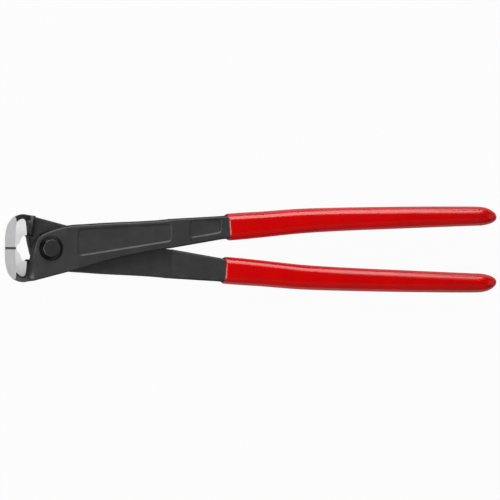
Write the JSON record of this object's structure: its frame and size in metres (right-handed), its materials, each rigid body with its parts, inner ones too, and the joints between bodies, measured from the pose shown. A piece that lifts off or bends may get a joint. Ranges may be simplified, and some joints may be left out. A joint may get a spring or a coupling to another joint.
{
  "type": "rebar tying pliers",
  "caption": "High-leverage end-cutting nippers with a riveted lap joint, wide flared jaws and long handles in dipped plastic grips, for twisting and cutting rebar tie wire.",
  "frame": {"origin": "middle of the tool's length and width, in the plane of the lower sides of the jaws, which the tool lies on", "axes": "+X along the tool from the jaws to the handle ends, +Y towards the upper lever's handle, +Z square to the levers, along the joint's axis and away from what the tool lies on"},
  "size_m": [0.2999, 0.0516, 0.0266],
  "materials": {
    "black_oxide_steel": "satin",
    "black_rivet_steel": "satin",
    "red_dipped_vinyl": "gloss"
  },
  "bodies": {
    "upper_half": {"upper_lever": "black_oxide_steel", "joint_rivet": "black_rivet_steel", "upper_grip": "red_dipped_vinyl"},
    "lower_half": {"lower_lever": "black_oxide_steel", "lower_grip": "red_dipped_vinyl"}
  },
  "joints": [
    {"name": "jaw_joint", "type": "hinge", "parent": "upper_half", "child": "lower_half", "pos_m": [-0.1271, 0, 0.0133], "axis": [0, 0, -1], "range_deg": [0, 70]}
  ]
}
